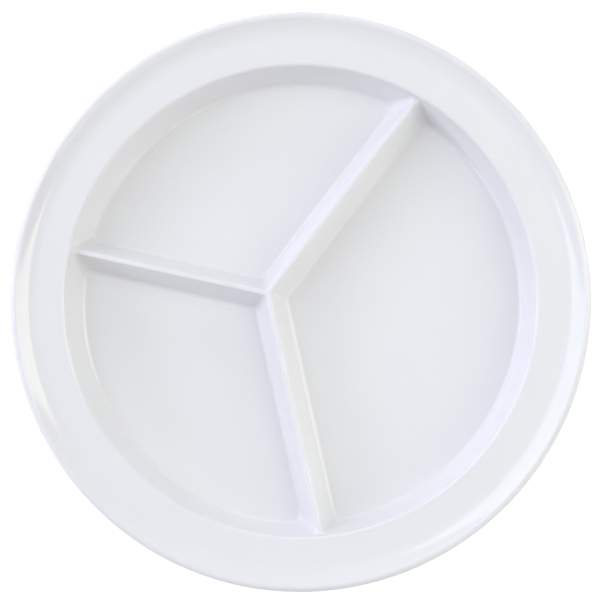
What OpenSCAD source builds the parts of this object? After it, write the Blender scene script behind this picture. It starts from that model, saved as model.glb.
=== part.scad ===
// Round dinner plate of white moulded melamine with three compartments.
// The large compartment faces +X, and the plate is symmetrical about the XZ plane.
// The origin is at the plate's middle, on the surface that it stands on.

/* [Plate] */
// Overall diameter, across the rolled edge of the rim
plate_d = 260; // [250:1:275]
// Thickness of the moulding: floors, walls and rim
wall_t = 2.8; // [2.4:0.1:3]
// Slope of the well's wall away from upright, in degrees
draft = 17; // [15:0.5:19]

/* [Rim] */
// Width of its flat, from the sharp edge where the well's wall would meet it to the part that turns up
rim_flat_w = 12; // [10:0.2:14]
// Width of the part that turns up
lip_w = 12; // [10:0.5:15]
// Radius of the hollow curve by which the rim turns up
turn_up_curve_r = 16; // [13:0.5:24]
// Radius of the rolled edge
edge_r = 2.1; // [1.8:0.1:2.4]

/* [Well] */
// Depth of the compartment floors below the rim
well_depth = 19; // [17:0.5:22]
// Radius of the rounded edge between the well and the rim
well_edge_r = 1.6; // [1:0.1:2]
// Radius of the fillet under the rim, outside the well
under_rim_r = 2; // [1:0.1:2.5]
// Radius of the fillet between a floor and the walls around it
floor_fillet_r = 2.4; // [1.5:0.1:3]

/* [Dividers] */
// Depth of the tops of the dividers below the rim
divider_drop = 4; // [3.5:0.5:6]
// Slope of their sides away from upright, in degrees
divider_draft = 21; // [19:0.5:23]
// Width of the flat strip along the top of a divider
land_w = 0.8; // [0.6:0.1:1.2]
// Radius of the rounded edges beside that strip
crest_r = 0.8; // [0.6:0.1:1.2]
// Radius of the fillet between the top of a divider and the well's wall
end_fillet_r = 2.2; // [1.5:0.1:3]
// Distance of the point where the dividers meet from the plate's middle
hub_offset = 14.8; // [10:0.2:20]
// Angle between the middle of the large compartment and each divider beside it, in degrees
divider_turn = 65; // [60:1:68]
// Width of the channel under a divider, at its narrow top
channel_w = 1.2; // [0.8:0.1:1.6]

/* [Compartment corners] */
// Corner radius at the floors
corner_floor_r = 4; // [3:0.5:5]
// Corner radius at the tops of the dividers
corner_crest_r = 2.5; // [2:0.5:3]

/* [Foot] */
// Height of the foot below the floors
foot_h = 1.8; // [1.2:0.1:2.4]
// Distance of the foot's middle in from the corner between the floors and the well's wall
foot_inset = 14; // [12:0.2:18]
// Width of the foot where it leaves the floor
foot_w = 4; // [3:0.2:5]
// Gap between each end of the foot and the channel beside it
foot_end_gap = 3; // [2:0.5:6]

/* [Hidden] */
$fn = 96;
// Steps in a quarter of a fillet, a rounded corner and the well's wall
round_steps = 5;
corner_steps = 8;
large_wall_steps = 44;
small_wall_steps = 32;
end_steps = 6;
// Levels
z_floor = foot_h + wall_t;
z_rim = z_floor + well_depth;
z_crest = z_rim - divider_drop;
// Radii of the place where the rim begins to turn up, and of the sharp edge of the well
turn_up_r = plate_d / 2 - lip_w;
well_r = turn_up_r - rim_flat_w;
// Length along the end of a divider from the sharp corner with the wall to where the fillet begins
end_tangent = end_fillet_r * tan((90 - draft) / 2);
// Half width of a divider and radius of the well, where they would meet the floor sharply
divider_foot = flank(z_floor);
well_foot = cone(z_floor);
foot_r = well_foot - foot_inset;
// Radius at which the fillet under the rim ends and the flat flange begins
flange_r = cone(z_rim - wall_t) + wall_t / cos(draft) + under_rim_r * tan((90 - draft) / 2);
// Height at which the channel under a divider closes
z_channel = z_floor + (divider_foot - wall_t / cos(divider_draft) - channel_w / 2) / tan(divider_draft);
hub = [-hub_offset, 0];
// Reach of the hub along each divider, past the corners of the compartments
narrow_turn = (180 - divider_turn) / 2;
hub_reach = crest_r + (flank(z_channel) + corner_floor_r) / tan(narrow_turn);
// Directions of the three dividers, anticlockwise
DIVIDERS = [-divider_turn, divider_turn, 180];

// Half width of a divider, and radius of the well, at height z
function flank(z) = land_w / 2 + crest_r * cos(divider_draft)
    + (z_crest - crest_r * (1 - sin(divider_draft)) - z) * tan(divider_draft);
function cone(z) = well_r - (z_rim - z) * tan(draft);
// Corner radius of a compartment at height z
function corner(z) = corner_floor_r
    + (corner_crest_r - corner_floor_r) * (z - z_floor) / (z_crest - z_floor);

function unit(angle) = [cos(angle), sin(angle)];
function arc(centre, r, start, end, steps) =
    [for (i = [0:steps]) centre + r * unit(start + (end - start) * i / steps)];
// Direction of point p, counted on from the angle a so that it never jumps by a turn
function bearing(p, a) = a + atan2(p * unit(a + 90), p * unit(a));

// Centre of a compartment's corner of radius c between the well's wall of radius r and the
// divider in direction a, of half width w. The side is 1 left of the divider and -1 right.
function wall_corner(a, side, w, r, c) =
    let (from = hub + side * (w + c) * unit(a + 90), along = from * unit(a))
    from + (sqrt(along ^ 2 - from * from + (r - c) ^ 2) - along) * unit(a);
// Centre of its corner of radius c between the dividers in directions a and b
function hub_corner(a, b, w, c) = hub + (w + c) / sin((b - a) / 2) * unit((a + b) / 2);

// Outline of the compartment between dividers a and b, anticlockwise
function compartment_outline(a, b, w, r, c, wall_steps) =
    let (first = wall_corner(a, 1, w, r, c), last = wall_corner(b, -1, w, r, c),
         start = bearing(first, a), end = bearing(last, b), wall = arc([0, 0], r, start, end, wall_steps))
    concat(
        arc(first, c, a - 90, start, corner_steps),
        [for (i = [1:wall_steps - 1]) wall[i]],
        arc(last, c, end, b + 90, corner_steps),
        arc(hub_corner(a, b, w, c), c, b + 90, a + 270, corner_steps));

// Outline of the divider in direction a, from the hub's reach to the well's wall
function divider_outline(a, w, r, c) =
    let (right = wall_corner(a, -1, w, r, c), left = wall_corner(a, 1, w, r, c),
         start = bearing(right, a), end = bearing(left, a),
         root = hub + hub_reach * unit(a), side = w * unit(a + 90), wall = arc([0, 0], r, start, end, end_steps))
    concat(
        [root - side],
        arc(right, c, a + 90, start, corner_steps),
        [for (i = [1:end_steps - 1]) wall[i]],
        arc(left, c, end, a - 90, corner_steps),
        [root + side]);

// Outline of the hub, between the roots of the three dividers
function hub_outline(w, c) = [
    for (i = [0:2])
        let (a = DIVIDERS[i], b = i < 2 ? DIVIDERS[i + 1] : DIVIDERS[0] + 360,
             root = hub + hub_reach * unit(a), side = w * unit(a + 90))
        each concat([root - side, root + side],
            arc(hub_corner(a, b, w, c), c, a + 270, b + 90, corner_steps))
];

// An outline at height z
function lift(outline, z) = [for (p = outline) [p.x, p.y, z]];

// Faces over a ring of n points from the first one on: a fan around a middle point or, without
// one, a ladder between the two halves of the ring
function cap(first, n, middle) = is_undef(middle)
    ? [for (i = [0:ceil(n / 2) - 2], half = [0, 1])
        let (a = first + i, b = first + n - 1 - i)
        if (half == 0) [a, a + 1, b]
        else if (a + 1 < b - 1) [a + 1, b - 1, b]]
    : [for (i = [0:n - 1]) [first + i, first + (i + 1) % n, middle]];

// Closed solid through level rings of points, each anticlockwise and with as many points as the
// next. A middle is given where an outline is neither convex nor a bar from its first point on.
module loft(rings, middle) {
    n = len(rings[0]);
    last = (len(rings) - 1) * n;
    fan = !is_undef(middle);
    middles = [for (ring = [0, len(rings) - 1]) if (fan) [middle.x, middle.y, rings[ring][0].z]];
    polyhedron(
        points = concat([for (ring = rings) each ring], middles),
        faces = concat(
            cap(0, n, fan ? last + n : undef),
            [for (base = [0:n:last - n], i = [0:n - 1], half = [0, 1])
                let (a = base + i, b = base + (i + 1) % n)
                half == 0 ? [a, a + n, b + n] : [a, b + n, b]],
            [for (face = cap(last, n, fan ? last + n + 1 : undef)) [face[2], face[1], face[0]]]));
}

// A compartment's moulded skin is 0 thick on its upper surface and wall_t thick on its lower one.
// These are the skin's levels, from the flat of the floor up through the fillet to the channel.
function skin_levels(skin) = concat(
    [for (i = [0:round_steps])
        z_floor + floor_fillet_r - (floor_fillet_r + skin) * cos((90 - draft) * i / round_steps)],
    [z_channel]);
// Distance of the skin, at height z, in from the sharp foot of a side with the given slope
function inset(z, slope, skin) =
    let (down = min(1, (z_floor + floor_fillet_r - z) / (floor_fillet_r + skin)))
    down > sin(slope)
        ? floor_fillet_r * tan((90 - slope) / 2) - (floor_fillet_r + skin) * sqrt(1 - down ^ 2)
        : (z_floor - z) * tan(slope) - skin / cos(slope);

// One ring of the compartment between dividers a and b
function skin_ring(a, b, z, skin, wall_steps) =
    lift(compartment_outline(a, b, divider_foot + inset(z, divider_draft, skin),
        well_foot - inset(z, draft, skin), corner(z) + skin, wall_steps), z);

// A compartment as a tray of even thickness between dividers a and b
module compartment(a, b, wall_steps) {
    top = skin_levels(0);
    loft(concat(
        [for (z = skin_levels(wall_t)) skin_ring(a, b, z, wall_t, wall_steps)],
        [for (i = [len(top) - 1:-1:0]) skin_ring(a, b, top[i], 0, wall_steps)]));
}

// Half width and height along the section of a divider, from the channel's top to the flat strip
crest_places = concat(
    [[flank(z_channel), z_channel]],
    [for (i = [0:round_steps])
        let (turn = divider_draft + (90 - divider_draft) * i / round_steps)
        [land_w / 2 + crest_r * cos(turn), z_crest - crest_r * (1 - sin(turn))]]);

// A point of a divider, which near the well's wall is raised and moved out on to the fillet there
function blend(p) =
    let (r = norm([p.x, p.y]),
         share = min(1, max(0, (p.z - z_crest) / crest_r + 1)),
         near = max(0, 1 - (cone(p.z) - r) / end_tangent),
         run = near * end_fillet_r * cos(draft),
         rise = end_fillet_r - sqrt(end_fillet_r ^ 2 - run ^ 2),
         out = run - near * end_tangent)
    [p.x * (r + share * out) / r, p.y * (r + share * out) / r, p.z + share * rise];

module divider(a) {
    loft([for (p = crest_places)
        [for (q = lift(divider_outline(a, p[0], cone(p[1]), corner(p[1])), p[1])) blend(q)]]);
}

// Direction, seen from the plate's middle, in which the divider a crosses the foot
function crossing(a) =
    let (along = hub * unit(a))
    bearing(hub + (sqrt(along ^ 2 - hub * hub + foot_r ^ 2) - along) * unit(a), a);

module foot(a, b) {
    land = foot_w - 2 * foot_h * tan(draft);
    end_turn = asin((divider_foot + foot_w / 2 + foot_end_gap) / foot_r);
    start = crossing(a) + end_turn;
    sweep = crossing(b) - end_turn - start;
    rotate([0, 0, start])
        rotate_extrude(angle = sweep)
            polygon([[foot_r - land / 2, 0], [foot_r + land / 2, 0],
                [foot_r + foot_w / 2, foot_h], [foot_r - foot_w / 2, foot_h]]);
}

module rim_lip() {
    // The rolled edge is a circle that the hollow curve touches
    lean = asin((plate_d / 2 - edge_r - turn_up_r) / (turn_up_curve_r + edge_r));
    curve_mid = [turn_up_r, z_rim + turn_up_curve_r];
    edge_mid = curve_mid + (turn_up_curve_r + edge_r) * unit(lean - 90);
    // Below, a straight line runs from the flange to touch the same circle
    root = [turn_up_r, z_rim - wall_t];
    reach = edge_mid - root;
    rise = atan2(reach.y, reach.x) - asin(edge_r / norm(reach));
    color("whitesmoke") rotate_extrude()
        polygon(concat(
            [root],
            arc(edge_mid, edge_r, rise - 90, 90 + lean, 3 * round_steps),
            arc(curve_mid, turn_up_curve_r, lean - 90, -90, 2 * round_steps)));
}

module rim_flange() {
    color("whitesmoke") rotate_extrude()
        translate([flange_r, z_rim - wall_t]) square([turn_up_r - flange_r, wall_t]);
}

module well_shoulder() {
    edge_mid = [well_r + well_edge_r * tan((90 - draft) / 2), z_rim - well_edge_r];
    under_mid = [flange_r, z_rim - wall_t - under_rim_r];
    color("whitesmoke") rotate_extrude()
        polygon(concat(
            [[cone(z_channel) + wall_t / cos(draft), z_channel]],
            arc(under_mid, under_rim_r, 180 - draft, 90, round_steps),
            [[flange_r, z_rim]],
            arc(edge_mid, well_edge_r, 90, 180 - draft, round_steps),
            [[cone(z_channel), z_channel]]));
}

module compartment_large() { color("white") compartment(DIVIDERS[0], DIVIDERS[1], large_wall_steps); }
module compartment_left() { color("white") compartment(DIVIDERS[1], DIVIDERS[2], small_wall_steps); }
module compartment_right() { mirror([0, 1, 0]) compartment_left(); }

module divider_back() { color("whitesmoke") divider(DIVIDERS[2]); }
module divider_left() { color("whitesmoke") divider(DIVIDERS[1]); }
module divider_right() { mirror([0, 1, 0]) divider_left(); }
module divider_hub() {
    color("whitesmoke") loft([for (p = crest_places) lift(hub_outline(p[0], corner(p[1])), p[1])], hub);
}

module foot_large() { color("gainsboro") foot(DIVIDERS[0], DIVIDERS[1]); }
module foot_left() { color("gainsboro") foot(DIVIDERS[1], DIVIDERS[2]); }
module foot_right() { mirror([0, 1, 0]) foot_left(); }

rim_lip();
rim_flange();
well_shoulder();
compartment_large();
compartment_left();
compartment_right();
divider_back();
divider_left();
divider_right();
divider_hub();
foot_large();
foot_left();
foot_right();
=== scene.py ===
"""Looks of the divided compartment plate: glossy white moulded melamine on a plain white table.

Each region of the moulding is a closed mesh that stands for the CAD node of the same name. The
plate's lengths are millimetres until a mesh is made, and those of the camera, table and lamps are
metres. Angles are degrees, and the plate's middle is the origin.
"""
import math

import bpy
import numpy as np
from mathutils import Matrix, Vector


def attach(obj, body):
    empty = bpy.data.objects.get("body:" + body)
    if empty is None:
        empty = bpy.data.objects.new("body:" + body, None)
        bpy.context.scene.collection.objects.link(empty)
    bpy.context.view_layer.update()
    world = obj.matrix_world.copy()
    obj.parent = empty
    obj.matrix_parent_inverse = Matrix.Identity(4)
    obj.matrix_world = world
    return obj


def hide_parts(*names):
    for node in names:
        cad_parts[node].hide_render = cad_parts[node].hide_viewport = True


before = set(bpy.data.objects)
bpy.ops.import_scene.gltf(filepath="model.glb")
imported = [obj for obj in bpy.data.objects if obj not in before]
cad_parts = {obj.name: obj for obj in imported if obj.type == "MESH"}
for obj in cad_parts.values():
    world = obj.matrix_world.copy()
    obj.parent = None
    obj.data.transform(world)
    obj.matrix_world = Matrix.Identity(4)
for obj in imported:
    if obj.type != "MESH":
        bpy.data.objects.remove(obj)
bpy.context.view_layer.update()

MM = 0.001

# Driving sizes of the moulding. DRAFT is the slope of the well's wall away from upright.
PLATE_D = 260
WALL_T = 2.8
DRAFT = 17
# The rim's flat, the part of it that turns up, and the rolled edge
RIM_FLAT_W = 12
LIP_W = 12
TURN_UP_CURVE_R = 16
EDGE_R = 2.1
# The well, the rounded edge between it and the rim, the fillet outside it under the rim, and the
# fillet between the floors and the walls
WELL_DEPTH = 19
WELL_EDGE_R = 1.6
UNDER_RIM_R = 2
FLOOR_FILLET_R = 2.4
# The dividers: how far their tops lie below the rim, their slope, the flat strip along the top and its
# rounded edges, and the fillet between the top and the well's wall
DIVIDER_DROP = 4
DIVIDER_DRAFT = 21
LAND_W = 0.8
CREST_R = 0.8
END_FILLET_R = 2.2
# They meet HUB_OFFSET from the plate's middle. DIVIDER_TURN is the angle between the middle of the
# large compartment and each divider beside it, and the channel is under a divider, at its narrow top.
HUB_OFFSET = 14.8
DIVIDER_TURN = 65
CHANNEL_W = 1.2
# Corner radii of the compartments, at the floors and at the tops of the dividers
CORNER_FLOOR_R = 4
CORNER_CREST_R = 2.5
# The foot below the floors. FOOT_INSET is how far its middle lies in from the foot of the well's wall,
# and FOOT_END_GAP keeps its ends clear of the channels beside them.
FOOT_H = 1.8
FOOT_W = 4
FOOT_EDGE_R = 0.6
FOOT_INSET = 14
FOOT_END_GAP = 3

# Fineness of the meshes
TURN_STEPS = 360
ROUND_STEPS = 12
CORNER_STEPS = 20
STRAIGHT_STEPS = 24
LAND_STEPS = 8
SHOULDER_STEPS = 5
WALL_STEP_DEG = 1.5
SHARP_ABOVE_DEG = 30


def sin(angle):
    return math.sin(math.radians(angle))


def cos(angle):
    return math.cos(math.radians(angle))


def tan(angle):
    return math.tan(math.radians(angle))


def unit(angle):
    return np.array([cos(angle), sin(angle)])


# Values that follow from the driving sizes
Z_FLOOR = FOOT_H + WALL_T
Z_RIM = Z_FLOOR + WELL_DEPTH
Z_CREST = Z_RIM - DIVIDER_DROP
TURN_UP_R = PLATE_D / 2 - LIP_W
WELL_R = TURN_UP_R - RIM_FLAT_W
HALF_DRAFT_TAN = tan((90 - DRAFT) / 2)
HUB = np.array([-HUB_OFFSET, 0])
DIVIDERS = [-DIVIDER_TURN, DIVIDER_TURN, 180]


def flank(z):
    """Half width of a divider at height z."""
    below = Z_CREST - CREST_R * (1 - sin(DIVIDER_DRAFT)) - z
    return LAND_W / 2 + CREST_R * cos(DIVIDER_DRAFT) + below * tan(DIVIDER_DRAFT)


def cone(z):
    """Radius of the well's wall at height z."""
    return WELL_R - (Z_RIM - z) * tan(DRAFT)


def corner(z):
    """Corner radius of a compartment at height z."""
    return CORNER_FLOOR_R + (CORNER_CREST_R - CORNER_FLOOR_R) * (z - Z_FLOOR) / (Z_CREST - Z_FLOOR)


DIVIDER_FOOT = flank(Z_FLOOR)
WELL_FOOT = cone(Z_FLOOR)
FOOT_R = WELL_FOOT - FOOT_INSET
Z_CHANNEL = Z_FLOOR + (DIVIDER_FOOT - WALL_T / cos(DIVIDER_DRAFT) - CHANNEL_W / 2) / tan(DIVIDER_DRAFT)
HUB_REACH = CREST_R + (flank(Z_CHANNEL) + CORNER_FLOOR_R) / tan((180 - DIVIDER_TURN) / 2)
FLANGE_R = cone(Z_RIM - WALL_T) + WALL_T / cos(DRAFT) + UNDER_RIM_R * HALF_DRAFT_TAN


def arc(centre, r, start, end, steps):
    angles = np.radians(np.linspace(start, end, steps + 1))
    return np.asarray(centre) + r * np.stack([np.cos(angles), np.sin(angles)], axis=1)


def bearing(p, a):
    """Direction of p, counted on from the angle a so that it never jumps by a turn."""
    return a + math.degrees(math.atan2(p @ unit(a + 90), p @ unit(a)))


def wall_corner(a, side, w, r, c):
    """Centre of a compartment's corner between the well's wall and the divider in direction a."""
    start = HUB + side * (w + c) * unit(a + 90)
    along = start @ unit(a)
    return start + (math.sqrt(along ** 2 - start @ start + (r - c) ** 2) - along) * unit(a)


def hub_corner(a, b, w, c):
    """Centre of its corner between the dividers in directions a and b."""
    return HUB + (w + c) / sin((b - a) / 2) * unit((a + b) / 2)


def compartment_outline(a, b, w, r, c, wall_steps):
    first = wall_corner(a, 1, w, r, c)
    last = wall_corner(b, -1, w, r, c)
    start, end = bearing(first, a), bearing(last, b)
    return np.concatenate([
        arc(first, c, a - 90, start, CORNER_STEPS),
        arc([0, 0], r, start, end, wall_steps)[1:-1],
        arc(last, c, end, b + 90, CORNER_STEPS),
        arc(hub_corner(a, b, w, c), c, b + 90, a + 270, CORNER_STEPS),
    ])


def hub_outline(w, c):
    points = []
    for a, b in zip(DIVIDERS, DIVIDERS[1:] + [DIVIDERS[0] + 360]):
        root = HUB + HUB_REACH * unit(a)
        side = w * unit(a + 90)
        points.append([root - side, root + side])
        points.append(arc(hub_corner(a, b, w, c), c, a + 270, b + 90, CORNER_STEPS))
    return np.concatenate(points)


def lift(outline, z):
    return np.column_stack([outline, np.full(len(outline), z)])


def make_piece(name, node, points, faces):
    """A closed, smooth shaded mesh that rides on the plate and stands for a CAD node."""
    mesh = bpy.data.meshes.new(name)
    mesh.from_pydata((np.asarray(points) * MM).tolist(), [], [[int(i) for i in f] for f in faces])
    mesh.validate()
    mesh.shade_smooth()
    mesh.set_sharp_from_angle(angle=math.radians(SHARP_ABOVE_DEG))
    piece = bpy.data.objects.new(name, mesh)
    bpy.context.scene.collection.objects.link(piece)
    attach(piece, "root")
    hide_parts(node)
    return piece


def grid_faces(rows, columns, wrap_rows=False, wrap_columns=False):
    """Quads of a grid of points, numbered row by row, seen from the side on which columns run right
    and rows run up."""
    faces = []
    for i in range(rows if wrap_rows else rows - 1):
        for j in range(columns if wrap_columns else columns - 1):
            a, b = i * columns + j, i * columns + (j + 1) % columns
            up = ((i + 1) % rows - i) * columns
            faces.append([a, b, b + up, a + up])
    return faces


def loft(name, node, rings):
    """Closed solid through rings of points, each anticlockwise and with as many points as the next."""
    n = len(rings[0])
    last = (len(rings) - 1) * n
    faces = grid_faces(len(rings), n, wrap_columns=True)
    faces.append(list(range(n))[::-1])
    faces.append([last + i for i in range(n)])
    return make_piece(name, node, np.concatenate(rings), faces)


def revolve(name, node, profile):
    """A closed ring swept round the plate's axis from a profile of (radius, height), anticlockwise."""
    profile = np.asarray(profile)
    angles = np.radians(np.arange(TURN_STEPS) * 360 / TURN_STEPS)
    points = np.stack([
        np.outer(profile[:, 0], np.cos(angles)),
        np.outer(profile[:, 0], np.sin(angles)),
        np.outer(profile[:, 1], np.ones(TURN_STEPS)),
    ], axis=2).reshape(-1, 3)
    faces = grid_faces(len(profile), TURN_STEPS, wrap_rows=True, wrap_columns=True)
    return make_piece(name, node, points, faces)


def skin_levels(skin):
    """Levels of a compartment's skin, from the flat of the floor up through the fillet to the
    channel. The skin is 0 thick on the upper surface and WALL_T thick on the lower one."""
    turns = np.linspace(0, 90 - DRAFT, ROUND_STEPS + 1)
    return [Z_FLOOR + FLOOR_FILLET_R - (FLOOR_FILLET_R + skin) * cos(turn) for turn in turns] + [Z_CHANNEL]


def inset(z, slope, skin):
    """Distance of the skin, at height z, in from the sharp foot of a side with the given slope."""
    down = min(1, (Z_FLOOR + FLOOR_FILLET_R - z) / (FLOOR_FILLET_R + skin))
    if down > sin(slope):
        out = (FLOOR_FILLET_R + skin) * math.sqrt(1 - down ** 2)
        return FLOOR_FILLET_R * tan((90 - slope) / 2) - out
    return (Z_FLOOR - z) * tan(slope) - skin / cos(slope)


def make_compartment(node, a, b):
    wall_steps = round((b - a) / WALL_STEP_DEG)

    def ring(z, skin):
        w = DIVIDER_FOOT + inset(z, DIVIDER_DRAFT, skin)
        r = WELL_FOOT - inset(z, DRAFT, skin)
        return lift(compartment_outline(a, b, w, r, corner(z) + skin, wall_steps), z)

    rings = [ring(z, WALL_T) for z in skin_levels(WALL_T)] + [ring(z, 0) for z in skin_levels(0)[::-1]]
    return loft(node + "_glazed", node, rings)


def crest_places():
    """Half width and height up a divider's flank, from the channel's top to its flat strip."""
    places = [[flank(Z_CHANNEL), Z_CHANNEL]]
    for turn in np.linspace(DIVIDER_DRAFT, 90, ROUND_STEPS + 1):
        places.append([LAND_W / 2 + CREST_R * cos(turn), Z_CREST - CREST_R * (1 - sin(turn))])
    return places


def blend_into_wall(points):
    """Raises a divider's top, where it nears the well's wall, by a fillet that touches both."""
    reach = END_FILLET_R * HALF_DRAFT_TAN
    past = END_FILLET_R * cos(DRAFT) - reach
    r = np.hypot(points[..., 0], points[..., 1])
    z = points[..., 2]
    share = np.clip((z - Z_CREST + CREST_R) / CREST_R, 0, 1)
    gap = cone(z) - r
    near = np.clip((reach - gap) / reach, 0, 1)
    run = near * (reach + past)
    rise = END_FILLET_R - np.sqrt(END_FILLET_R ** 2 - run ** 2)
    out = (run - near * reach) * share
    blended = points.copy()
    blended[..., :2] *= ((r + out) / r)[..., None]
    blended[..., 2] += rise * share
    return blended


def make_divider(node, a):
    """A divider's top as one grid: stations from the hub to the wall, points from flank to flank."""
    places = crest_places()

    def flank_line(side, w, z):
        c = corner(z)
        turn = wall_corner(a, side, w, cone(z), c)
        bend = arc(turn, c, a - 90 * side, bearing(turn, a), CORNER_STEPS)
        root = HUB + HUB_REACH * unit(a) + side * w * unit(a + 90)
        straight = np.linspace(root, bend[0], STRAIGHT_STEPS, endpoint=False)
        return lift(np.concatenate([straight, bend]), z)

    right = [flank_line(-1, w, z) for w, z in places]
    left = [flank_line(1, w, z) for w, z in places]
    shares = np.linspace(0, 1, LAND_STEPS + 1)[1:-1]
    stations = len(right[0])
    # Near the wall, the lines across the top bow out until the last lies along the wall
    bow = np.clip((np.arange(stations) - STRAIGHT_STEPS) / CORNER_STEPS, 0, 1) ** 2
    span = np.linalg.norm(left[-1][-1] - right[-1][-1])
    sagitta = span ** 2 / (8 * cone(Z_CREST))
    land = []
    for share in shares:
        line = right[-1] * (1 - share) + left[-1] * share
        line[:, :2] += np.outer(bow * sagitta * 4 * share * (1 - share), unit(a))
        land.append(line)
    grid = blend_into_wall(np.stack(right + land + left[::-1], axis=1))
    columns = grid.shape[1]
    faces = [face[::-1] for face in grid_faces(stations, columns)]
    starts = [i * columns for i in range(stations)]
    ends = [start + columns - 1 for start in starts]
    faces.append(starts[::-1] + ends)
    faces.append(list(range(columns)))
    faces.append([starts[-1] + i for i in range(columns)][::-1])
    return make_piece(node + "_glazed", node, grid.reshape(-1, 3), faces)


def make_hub():
    rings = [lift(hub_outline(w, corner(z)), z) for w, z in crest_places()]
    return loft("divider_hub_glazed", "divider_hub", rings)


def make_foot(node, a, b):
    """An arc of the foot: a low bar with round ends, drafted sides and a rounded tread."""

    def crossing(direction):
        along = HUB @ unit(direction)
        return bearing(HUB + (math.sqrt(along ** 2 - HUB @ HUB + FOOT_R ** 2) - along) * unit(direction),
                       direction)

    end_turn = math.degrees(math.asin((DIVIDER_FOOT + FOOT_W + FOOT_END_GAP) / FOOT_R))
    start, end = crossing(a) + end_turn, crossing(b) - end_turn
    steps = round((end - start) / WALL_STEP_DEG)
    land = FOOT_W / 2 - FOOT_H * tan(DRAFT) - FOOT_EDGE_R * HALF_DRAFT_TAN
    places = [[land + FOOT_EDGE_R * sin(turn), FOOT_EDGE_R * (1 - cos(turn))]
              for turn in np.linspace(0, 90 - DRAFT, ROUND_STEPS // 2 + 1)]
    places.append([FOOT_W / 2, FOOT_H])
    rings = []
    for w, z in places:
        outline = np.concatenate([
            arc([0, 0], FOOT_R + w, start, end, steps),
            arc(FOOT_R * unit(end), w, end, end + 180, ROUND_STEPS)[1:-1],
            arc([0, 0], FOOT_R - w, end, start, steps),
            arc(FOOT_R * unit(start), w, start + 180, start + 360, ROUND_STEPS)[1:-1],
        ])
        rings.append(lift(outline, z))
    return loft(node + "_glazed", node, rings)


def make_well_shoulder():
    edge_mid = [WELL_R + WELL_EDGE_R * HALF_DRAFT_TAN, Z_RIM - WELL_EDGE_R]
    under_mid = [FLANGE_R, Z_RIM - WALL_T - UNDER_RIM_R]
    levels = np.linspace(Z_CHANNEL, edge_mid[1], SHOULDER_STEPS + 1)[:-1]
    profile = np.concatenate([
        [[cone(Z_CHANNEL) + WALL_T / cos(DRAFT), Z_CHANNEL]],
        arc(under_mid, UNDER_RIM_R, 180 - DRAFT, 90, ROUND_STEPS),
        [[FLANGE_R, Z_RIM]],
        arc(edge_mid, WELL_EDGE_R, 90, 180 - DRAFT, ROUND_STEPS),
        [[cone(z), z] for z in levels[::-1]],
    ])
    return revolve("well_shoulder_glazed", "well_shoulder", profile)


def make_rim_flange():
    below = Z_RIM - WALL_T
    profile = [[FLANGE_R, below], [TURN_UP_R, below], [TURN_UP_R, Z_RIM], [FLANGE_R, Z_RIM]]
    return revolve("rim_flange_glazed", "rim_flange", profile)


def make_rim_lip():
    lean = math.degrees(math.asin((PLATE_D / 2 - EDGE_R - TURN_UP_R) / (TURN_UP_CURVE_R + EDGE_R)))
    curve_mid = np.array([TURN_UP_R, Z_RIM + TURN_UP_CURVE_R])
    edge_mid = curve_mid + (TURN_UP_CURVE_R + EDGE_R) * unit(lean - 90)
    root = np.array([TURN_UP_R, Z_RIM - WALL_T])
    reach = edge_mid - root
    rise = math.degrees(math.atan2(reach[1], reach[0]) - math.asin(EDGE_R / np.linalg.norm(reach)))
    profile = np.concatenate([
        [root],
        arc(edge_mid, EDGE_R, rise - 90, 90 + lean, 3 * ROUND_STEPS),
        arc(curve_mid, TURN_UP_CURVE_R, lean - 90, -90, 2 * ROUND_STEPS)[1:],
    ])
    return revolve("rim_lip_glazed", "rim_lip", profile)


def melamine():
    """Glossy white melamine: a hard clear glaze over a white body, with the faintest mottling."""
    material = bpy.data.materials.new("glazed_melamine")
    material.use_nodes = True
    nodes, links = material.node_tree.nodes, material.node_tree.links
    shader = nodes["Principled BSDF"]
    shader.inputs["IOR"].default_value = 1.5
    place = nodes.new("ShaderNodeTexCoord")

    def noise(scale, detail):
        node = nodes.new("ShaderNodeTexNoise")
        node.inputs["Scale"].default_value = scale
        node.inputs["Detail"].default_value = detail
        links.new(place.outputs["Object"], node.inputs["Vector"])
        return node.outputs["Fac"]

    tint = nodes.new("ShaderNodeMix")
    tint.data_type = "RGBA"
    tint.inputs["A"].default_value = (0.805, 0.812, 0.832, 1)
    tint.inputs["B"].default_value = (0.835, 0.840, 0.855, 1)
    links.new(noise(scale=35, detail=3), tint.inputs["Factor"])
    links.new(tint.outputs["Result"], shader.inputs["Base Color"])

    gloss = nodes.new("ShaderNodeMapRange")
    gloss.inputs["To Min"].default_value = 0.07
    gloss.inputs["To Max"].default_value = 0.12
    links.new(noise(scale=120, detail=4), gloss.inputs["Value"])
    links.new(gloss.outputs["Result"], shader.inputs["Roughness"])

    bump = nodes.new("ShaderNodeBump")
    bump.inputs["Strength"].default_value = 0.05
    bump.inputs["Distance"].default_value = 0.00005
    links.new(noise(scale=260, detail=2), bump.inputs["Height"])
    links.new(bump.outputs["Normal"], shader.inputs["Normal"])
    return material


def make_plate():
    pieces = [
        make_rim_lip(), make_rim_flange(), make_well_shoulder(),
        make_compartment("compartment_large", DIVIDERS[0], DIVIDERS[1]),
        make_compartment("compartment_left", DIVIDERS[1], DIVIDERS[2]),
        make_compartment("compartment_right", DIVIDERS[2], DIVIDERS[0] + 360),
        make_divider("divider_back", DIVIDERS[2]),
        make_divider("divider_left", DIVIDERS[1]),
        make_divider("divider_right", DIVIDERS[0]),
        make_hub(),
        make_foot("foot_large", DIVIDERS[0], DIVIDERS[1]),
        make_foot("foot_left", DIVIDERS[1], DIVIDERS[2]),
        make_foot("foot_right", DIVIDERS[2], DIVIDERS[0] + 360),
    ]
    finish = melamine()
    for piece in pieces:
        piece.data.materials.append(finish)


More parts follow.
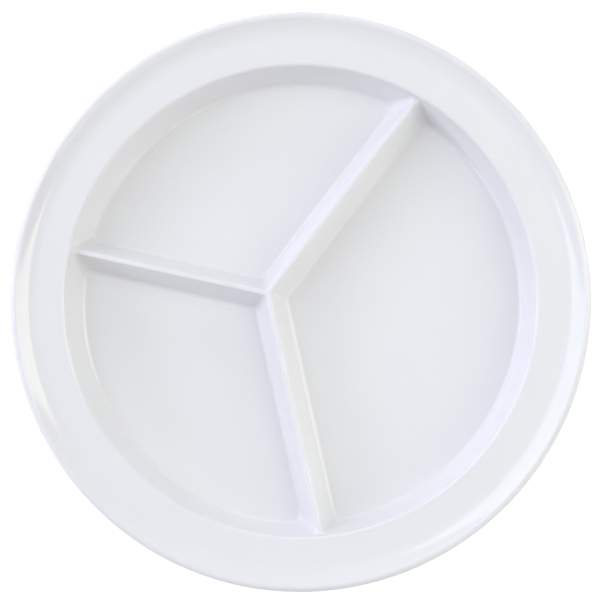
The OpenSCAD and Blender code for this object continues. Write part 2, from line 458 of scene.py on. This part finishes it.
# Where the photograph was taken from, in metres from the rim's middle: nearly straight above, a little
# off to the lower right. The frame is FRAME_WIDTH wide at the plate, and its middle lies AIM_RIGHT and
# AIM_UP from the rim's middle. The picture is turned by PICTURE_TURN against the plate.
PICTURE_TURN = 12.6
CAMERA_HEIGHT = 1.05
CAMERA_RIGHT, CAMERA_DOWN = 0.046, 0.07
FRAME_WIDTH = 0.2686
AIM_RIGHT, AIM_UP = 0.0003, -0.0001
PICTURE_RIGHT = Vector((cos(PICTURE_TURN), sin(PICTURE_TURN), 0))
PICTURE_UP = Vector((-sin(PICTURE_TURN), cos(PICTURE_TURN), 0))


def make_camera():
    rim_mid = Vector((0, 0, Z_RIM * MM))
    eye = rim_mid + PICTURE_RIGHT * CAMERA_RIGHT - PICTURE_UP * CAMERA_DOWN + Vector((0, 0, CAMERA_HEIGHT))
    aim = rim_mid + PICTURE_RIGHT * AIM_RIGHT + PICTURE_UP * AIM_UP
    camera = bpy.data.cameras.new("camera")
    camera.sensor_width = 36
    camera.lens = camera.sensor_width * (eye - aim).length / FRAME_WIDTH
    back = (eye - aim).normalized()
    right = PICTURE_UP.cross(back).normalized()
    turn = Matrix((right, back.cross(right), back)).transposed()
    obj = bpy.data.objects.new("camera", camera)
    obj.matrix_world = Matrix.Translation(eye) @ turn.to_4x4()
    bpy.context.scene.collection.objects.link(obj)
    bpy.context.scene.camera = obj


TABLE_W = 6
# Distances from the plate's middle, and how strongly the table glows there. The glow starts below the
# rim, so that the shadow there stays, and ends as white as the room.
TABLE_GLOW = [(0.1, 0), (0.128, 0.5), (0.25, 0.5), (0.7, 1)]


def shows_background(nodes, links):
    """A socket that is 1 for the rays that show the background: the camera's own, those off a
    glossy surface and those through a clear one."""
    path = nodes.new("ShaderNodeLightPath")
    shown = path.outputs["Is Camera Ray"]
    for kind in ["Is Glossy Ray", "Is Transmission Ray"]:
        either = nodes.new("ShaderNodeMath")
        either.operation = "MAXIMUM"
        links.new(shown, either.inputs[0])
        links.new(path.outputs[kind], either.inputs[1])
        shown = either.outputs[0]
    return shown


def make_floor():
    """A white table top that takes the plate's shadow. From below it is clear, to the lamps there too,
    so that the underside is seen."""
    half = TABLE_W / 2
    corners = [(-half, -half, 0), (half, -half, 0), (half, half, 0), (-half, half, 0)]
    mesh = bpy.data.meshes.new("table")
    mesh.from_pydata(corners, [], [(0, 1, 2, 3)])
    table = bpy.data.objects.new("table", mesh)
    bpy.context.scene.collection.objects.link(table)
    material = bpy.data.materials.new("table_white")
    material.use_nodes = True
    nodes, links = material.node_tree.nodes, material.node_tree.links
    nodes.clear()
    output = nodes.new("ShaderNodeOutputMaterial")
    paper = nodes.new("ShaderNodeBsdfDiffuse")
    paper.inputs["Color"].default_value = (0.8, 0.8, 0.8, 1)
    place = nodes.new("ShaderNodeTexCoord")
    distance = nodes.new("ShaderNodeVectorMath")
    distance.operation = "LENGTH"
    growth = nodes.new("ShaderNodeValToRGB")
    for reach, strength in TABLE_GLOW:
        growth.color_ramp.elements.new(reach).color = (strength, strength, strength, 1)
    glow = nodes.new("ShaderNodeEmission")
    path = nodes.new("ShaderNodeLightPath")
    dark = nodes.new("ShaderNodeEmission")
    dark.inputs["Strength"].default_value = 0
    seen = nodes.new("ShaderNodeMixShader")
    both = nodes.new("ShaderNodeAddShader")
    clear = nodes.new("ShaderNodeBsdfTransparent")
    side = nodes.new("ShaderNodeNewGeometry")
    through = nodes.new("ShaderNodeMath")
    through.operation = "MAXIMUM"
    mix = nodes.new("ShaderNodeMixShader")
    links.new(place.outputs["Object"], distance.inputs[0])
    links.new(distance.outputs["Value"], growth.inputs["Fac"])
    links.new(growth.outputs["Color"], glow.inputs["Strength"])
    links.new(shows_background(nodes, links), seen.inputs["Fac"])
    links.new(dark.outputs[0], seen.inputs[1])
    links.new(glow.outputs[0], seen.inputs[2])
    links.new(paper.outputs[0], both.inputs[0])
    links.new(seen.outputs[0], both.inputs[1])
    links.new(side.outputs["Backfacing"], through.inputs[0])
    links.new(path.outputs["Is Shadow Ray"], through.inputs[1])
    links.new(through.outputs[0], mix.inputs["Fac"])
    links.new(both.outputs[0], mix.inputs[1])
    links.new(clear.outputs[0], mix.inputs[2])
    links.new(mix.outputs[0], output.inputs["Surface"])
    mesh.materials.append(material)


def make_lamp(name, azimuth, elevation, distance, width, height, watts, colour):
    """A soft box that faces the plate's middle, with its place given in degrees and metres. The
    azimuth is anticlockwise from the picture's right."""
    lamp = bpy.data.lights.new(name, "AREA")
    lamp.shape = "RECTANGLE"
    lamp.size, lamp.size_y = width, height
    lamp.energy = watts
    lamp.color = colour
    turn = azimuth + PICTURE_TURN
    back = Vector((cos(turn) * cos(elevation), sin(turn) * cos(elevation), sin(elevation)))
    obj = bpy.data.objects.new(name, lamp)
    obj.location = back * distance
    obj.rotation_mode = "QUATERNION"
    obj.rotation_quaternion = (-back).to_track_quat("-Z", "Y")
    bpy.context.scene.collection.objects.link(obj)


def make_light():
    world = bpy.data.worlds.new("studio")
    bpy.context.scene.world = world
    world.use_nodes = True
    nodes, links = world.node_tree.nodes, world.node_tree.links
    nodes.clear()
    output = nodes.new("ShaderNodeOutputWorld")
    room = nodes.new("ShaderNodeBackground")
    room.inputs["Color"].default_value = (0.94, 0.835, 1, 1)
    room.inputs["Strength"].default_value = 0.24
    white = nodes.new("ShaderNodeBackground")
    white.inputs["Color"].default_value = (1, 1, 1, 1)
    mix = nodes.new("ShaderNodeMixShader")
    links.new(shows_background(nodes, links), mix.inputs["Fac"])
    links.new(room.outputs[0], mix.inputs[1])
    links.new(white.outputs[0], mix.inputs[2])
    links.new(mix.outputs[0], output.inputs["Surface"])
    make_lamp("left_box", azimuth=153, elevation=44, distance=2.4, width=1.65, height=2.5,
              watts=31.5, colour=(0.87, 0.915, 1))
    make_lamp("low_left_box", azimuth=192, elevation=20, distance=2, width=1.6, height=0.8,
              watts=12.5, colour=(0.85, 0.9, 1))
    make_lamp("right_box", azimuth=13, elevation=47, distance=1.5, width=0.55, height=1.55,
              watts=9.2, colour=(0.965, 1, 0.83))
    make_lamp("low_right_box", azimuth=0, elevation=18, distance=1.5, width=1, height=0.6,
              watts=1.9, colour=(1, 0.95, 0.99))
    make_lamp("near_right_box", azimuth=312, elevation=32, distance=2, width=1.1, height=1.1,
              watts=7.5, colour=(0.98, 1, 0.9))
    make_lamp("far_box", azimuth=98, elevation=17, distance=2.4, width=1.8, height=1,
              watts=12, colour=(0.86, 0.88, 1))
    make_lamp("under_left_box", azimuth=150, elevation=-42, distance=1.8, width=1.2, height=1.2,
              watts=11, colour=(0.95, 0.97, 1))
    make_lamp("under_right_box", azimuth=320, elevation=-48, distance=1.8, width=1.2, height=1.2,
              watts=7, colour=(1, 0.98, 0.95))
    bpy.context.scene.view_settings.view_transform = "Standard"


make_camera()
make_floor()
make_light()
make_plate()
